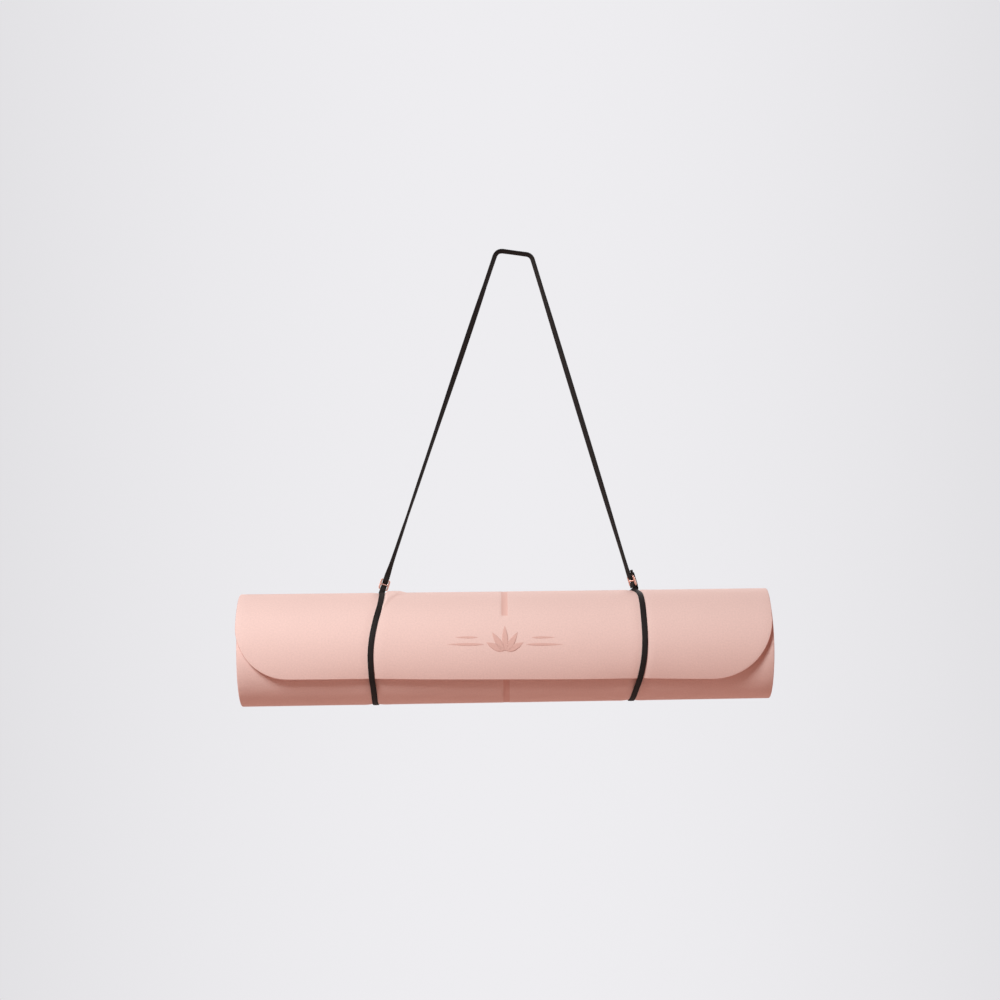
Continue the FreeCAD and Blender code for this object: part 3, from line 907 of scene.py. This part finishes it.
def braid_material(strap):
    """Flat braided polyester tape, piece-dyed black: dull, with a faint sheen, and its plaits' crowns painted
    lighter in patches: painted highlight, and wear.
    """
    crown = 0.00025
    wear_and_highlight_size = 0.004
    yarn_size = 0.0022
    material, tree, shader = new_material("Polyester tape, flat braided, black")
    place, parts = flat_coordinates(tree)
    wear_and_highlight_patches = add_node(tree, "TexNoise", {"Vector": place}, Scale=1 / wear_and_highlight_size, Detail=2.0)
    # Painted highlight with wear: a mask of the plaits' crowns, where the tape is painted lighter in patches.
    high = maths(tree, "SUBTRACT", maths(tree, "ABSOLUTE", parts["Z"]), strap.thickness / 2 - crown)
    high = maths(tree, "MULTIPLY", high, 1 / crown)
    high = maths(tree, "MINIMUM", maths(tree, "MAXIMUM", high, 0.0), 1.0)
    tone = mix(tree, maths(tree, "MULTIPLY", high, wear_and_highlight_patches.outputs["Fac"]), strap.colour, strap.wear_and_highlight_colour)
    yarn = add_node(tree, "TexWave", {"Vector": place}, Scale=1 / yarn_size, Distortion=1.5, Detail=1.0)
    bump = add_node(tree, "Bump", {"Height": yarn.outputs["Fac"]}, Strength=0.25, Distance=0.0001)
    tree.links.new(tone, shader.inputs["Base Color"])
    tree.links.new(bump.outputs["Normal"], shader.inputs["Normal"])
    set_shader(shader, Roughness=0.7, IOR=1.5, Specular_IOR_Level=0.2)
    set_shader(shader, Sheen_Weight=0.03, Sheen_Roughness=0.4)
    return material


KNOT_RINGS = 96
KNOT_AROUND = 14
KNOT_SIZE = 0.00052  # a third of the trefoil's radius
KNOT_TAPE = 0.00085  # half the width of the tape where it is pulled tight
KNOT_HEIGHT = 0.0105  # above the slider's middle


def build_knot(name, material):
    """The stopper knot in a tape end: a tight overhand knot, as a tube along a trefoil."""
    own = slider_frame(name)
    strap = bpy.context.scene.carry_strap
    centre = own @ Vector((0, end_ply(), KNOT_HEIGHT))
    basis = own.to_3x3()
    turns = np.arange(KNOT_RINGS) * 2 * math.pi / KNOT_RINGS
    line = np.stack([np.sin(turns) + 2 * np.sin(2 * turns), -np.sin(3 * turns) * 1.3,
                     np.cos(turns) - 2 * np.cos(2 * turns)], -1) * KNOT_SIZE
    tangents = unit(np.roll(line, -1, 0) - np.roll(line, 1, 0))
    first = unit(np.cross(tangents, line))
    second = np.cross(tangents, first)
    around = np.arange(KNOT_AROUND) * 2 * math.pi / KNOT_AROUND
    ring = (first[:, None, :] * np.cos(around)[None, :, None] * 1.05
            + second[:, None, :] * np.sin(around)[None, :, None] * 0.8) * KNOT_TAPE
    ribs = 1 + 0.08 * np.cos(around[None, :] * 5 + turns[:, None] * 30)
    body = line[:, None, :] + ring * ribs[..., None]
    points = np.array([centre + basis @ Vector(p) for p in body.reshape(-1, 3)])
    index = np.arange(len(points)).reshape(KNOT_RINGS, KNOT_AROUND)
    faces = grid_faces(np.pad(index, ((0, 1), (0, 1)), mode="wrap").T)
    flat = np.stack([body[..., 0], body[..., 2], np.full(body.shape[:2], strap.thickness / 2)], -1)
    return mesh_object(name + "_end_knot", points, faces, [material], flat=flat.reshape(-1, 3))


class CARRY_OT_sling(bpy.types.Operator):
    """Builds the braided tape of the sling: grip, two spans, two nooses and their end knots"""
    bl_idname = "carry.build_sling"
    bl_label = "Build the sling"

    def execute(self, context):
        strap = context.scene.carry_strap
        tape = braid_material(strap)
        for name in SIDES:
            body = name + "_slider"
            knot = build_knot(name, tape)
            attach(knot, body)
            noose, line, length = tape_mesh(name + "_noose_tape", noose_stations(name), tape)
            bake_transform(noose)
            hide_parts(name + "_noose", name + "_tape_end")
            span, line, length = tape_mesh(name + "_span_tape", span_stations(name), tape)
            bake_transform(span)
            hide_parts(name + "_lower_span", name + "_upper_span")
        grip, line, length = tape_mesh("grip_tape", grip_stations(), tape)
        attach(grip, "sling")
        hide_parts("strap_grip")
        return {"FINISHED"}


# ---- the sliders ----

def plated_material(slider):
    """Zinc casting, polished and plated rose gold: a warm mirror with a few fine scuffs."""
    material, tree, shader = new_material("Zinc casting, rose gold plated, polished")
    place = add_node(tree, "TexCoord").outputs["Generated"]
    scuffs = add_node(tree, "TexNoise", {"Vector": place}, Scale=9.0, Detail=4.0)
    tone = mix(tree, scuffs.outputs["Fac"], shade(slider.colour, 0.9), shade(slider.colour, 1.05))
    bump = add_node(tree, "Bump", {"Height": scuffs.outputs["Fac"]}, Strength=0.1, Distance=0.0001)
    rough = maths(tree, "ADD", maths(tree, "MULTIPLY", scuffs.outputs["Fac"], 0.12), 0.14)
    tree.links.new(tone, shader.inputs["Base Color"])
    tree.links.new(bump.outputs["Normal"], shader.inputs["Normal"])
    tree.links.new(rough, shader.inputs["Roughness"])
    set_shader(shader, Metallic=1.0)
    return material


class CARRY_OT_sliders(bpy.types.Operator):
    """Finishes the two cast sliders, which keep their CAD shape"""
    bl_idname = "carry.finish_sliders"
    bl_label = "Finish the sliders"

    def execute(self, context):
        plated = plated_material(context.scene.carry_slider)
        for name in SIDES:
            casting = frame["nodes"][name + "_slider_frame"]
            casting.data.materials.clear()
            casting.data.materials.append(plated)
        return {"FINISHED"}


# ---- the stage ----

def add_light(name, place, target, size, power, colour):
    data = bpy.data.lights.new(name, "AREA")
    data.shape = "RECTANGLE"
    data.size, data.size_y = size
    data.energy = power
    data.color = colour
    light = bpy.data.objects.new(name, data)
    light.location = place
    light.rotation_mode = "QUATERNION"
    light.rotation_quaternion = (Vector(target) - Vector(place)).to_track_quat("-Z", "Y")
    bpy.context.scene.collection.objects.link(light)


FLOOR_RADIUS = 2.0
FLOOR_FADE = (0.5, 1.9)  # distances from the middle where the floor starts and ends to fade
FLOOR_POINTS = 96

# Where each softbox stands, where it points, its width and height, its watts and its colour.
SOFTBOXES = {
    "Key softbox": ((-1.1, -1.9, 1.05), (-0.1, 0, -0.46), (0.8, 0.7), 72, (0.89, 0.98, 1)),
    "Right softbox": ((2.1, 0.5, -0.2), (0.3, 0, -0.46), (0.9, 0.9), 14.5, (1, 1, 1)),
    "Left softbox": ((-2.1, 0.5, -0.2), (-0.3, 0, -0.46), (0.9, 0.9), 14.5, (1, 1, 1)),
    "Back softbox": ((0.5, 2.2, 0.9), (CAD_BOX[0] + CAD_BOX[1]) / 2, (1.4, 1.2), 28, (1, 1, 1)),
}


def floor_material(stage):
    """Floor painted matt and pale, which fades out towards its rim so that it has no hard edge.

    To the camera it is plain, and to the object it sends back warmer light.
    """
    material, tree, shader = new_material("Painted studio floor, matt")
    set_shader(shader, Roughness=0.9)
    seen = add_node(tree, "LightPath").outputs["Is Camera Ray"]
    tree.links.new(mix(tree, seen, stage.bounce_colour, stage.backdrop_colour), shader.inputs["Base Color"])
    place = add_node(tree, "NewGeometry").outputs["Position"]
    middle = add_node(tree, "VectorMath", {"Vector": place}, operation="MULTIPLY")
    middle.inputs[1].default_value = (1, 1, 0)
    away = add_node(tree, "VectorMath", operation="LENGTH")
    tree.links.new(middle.outputs[0], away.inputs[0])
    fade = add_node(tree, "MapRange", {"Value": away.outputs["Value"]}, interpolation_type="SMOOTHSTEP",
                    From_Min=FLOOR_FADE[0], From_Max=FLOOR_FADE[1])
    clear = add_node(tree, "BsdfTransparent")
    both = add_node(tree, "MixShader")
    tree.links.new(fade.outputs[0], both.inputs[0])
    tree.links.new(shader.outputs[0], both.inputs[1])
    tree.links.new(clear.outputs[0], both.inputs[2])
    tree.links.new(both.outputs[0], tree.nodes["Material Output"].inputs["Surface"])
    return material


def pale_world(colour):
    """A pale backdrop for the camera, dimmer at its sides, and a warm, low fill for the object."""
    side_shade = 0.89
    shine = 0.7
    low_fill = (1.0, 0.36, 0.24, 1.0)
    high_fill = (0.74, 0.36, 0.3, 1.0)
    world = bpy.data.worlds.new("Pale studio")
    world.use_nodes = True
    tree = world.node_tree
    tree.nodes.clear()
    direction = add_node(tree, "SeparateXYZ", {"Vector": add_node(tree, "TexCoord").outputs["Generated"]})
    aside = maths(tree, "MULTIPLY", maths(tree, "ABSOLUTE", direction.outputs["X"]), 4.5)
    aside = maths(tree, "MINIMUM", maths(tree, "POWER", aside, 2.0), 1.0)
    backdrop = mix(tree, aside, colour, shade(colour, side_shade))
    seen = add_node(tree, "Background", {"Color": backdrop}, Strength=1.0)
    height = add_node(tree, "MapRange", {"Value": direction.outputs["Z"]}, interpolation_type="SMOOTHSTEP",
                      From_Min=-0.3, From_Max=0.3)
    fill = add_node(tree, "Background", {"Color": mix(tree, height.outputs[0], low_fill, high_fill)},
                    Strength=0.31)
    path = add_node(tree, "LightPath")
    both = add_node(tree, "MixShader")
    shiny = maths(tree, "MULTIPLY", path.outputs["Is Glossy Ray"], shine)
    tree.links.new(maths(tree, "MAXIMUM", path.outputs["Is Camera Ray"], shiny), both.inputs[0])
    tree.links.new(fill.outputs[0], both.inputs[1])
    tree.links.new(seen.outputs[0], both.inputs[2])
    output = add_node(tree, "OutputWorld")
    tree.links.new(both.outputs[0], output.inputs["Surface"])
    bpy.context.scene.world = world


class CARRY_OT_stage(bpy.types.Operator):
    """Sets up the pale floor, the soft studio light and the camera"""
    bl_idname = "carry.build_stage"
    bl_label = "Build the stage"

    def execute(self, context):
        stage = context.scene.carry_stage
        low = CAD_BOX[0].z - stage.floor_drop
        rim = [(FLOOR_RADIUS * math.cos(turn), FLOOR_RADIUS * math.sin(turn), low)
               for turn in np.arange(FLOOR_POINTS) * 2 * math.pi / FLOOR_POINTS]
        floor = mesh_object("floor", rim, [range(FLOOR_POINTS)], [floor_material(stage)])
        for name, (place, target, size, power, colour) in SOFTBOXES.items():
            add_light(name, place, target, size, power, colour)
        pale_world(stage.backdrop_colour)
        camera = bpy.data.objects.new("Camera", bpy.data.cameras.new("Camera"))
        camera.data.lens = stage.lens
        camera.data.sensor_width = 36
        camera.data.shift_y = -0.055
        camera.location = (stage.camera_x, -stage.camera_distance, stage.camera_z)
        level = Matrix.Rotation(math.pi / 2, 3, "X")
        camera.rotation_euler = (Matrix.Rotation(stage.camera_roll, 3, "Y") @ level).to_euler()
        context.scene.collection.objects.link(camera)
        context.scene.camera = camera
        context.scene.view_settings.view_transform = "Standard"
        return {"FINISHED"}


class CARRY_PT_panel(bpy.types.Panel):
    bl_label = "Carry mat"
    bl_idname = "CARRY_PT_panel"
    bl_space_type = "VIEW_3D"
    bl_region_type = "UI"
    bl_category = "Carry mat"

    def draw(self, context):
        for operator in OPERATORS:
            self.layout.operator(operator.bl_idname)


OPERATORS = (CARRY_OT_mat, CARRY_OT_sling, CARRY_OT_sliders, CARRY_OT_stage)


def register():
    for name, group in SETTINGS.items():
        bpy.utils.register_class(group)
        setattr(bpy.types.Scene, name, bpy.props.PointerProperty(type=group))
    for item in (*OPERATORS, CARRY_PT_panel):
        bpy.utils.register_class(item)


def unregister():
    for item in (CARRY_PT_panel, *reversed(OPERATORS)):
        bpy.utils.unregister_class(item)
    for name, group in SETTINGS.items():
        delattr(bpy.types.Scene, name)
        bpy.utils.unregister_class(group)


def main():
    register()
    bpy.ops.carry.build_mat()
    bpy.ops.carry.build_sling()
    bpy.ops.carry.finish_sliders()
    bpy.ops.carry.build_stage()


if __name__ == "__main__":
    main()
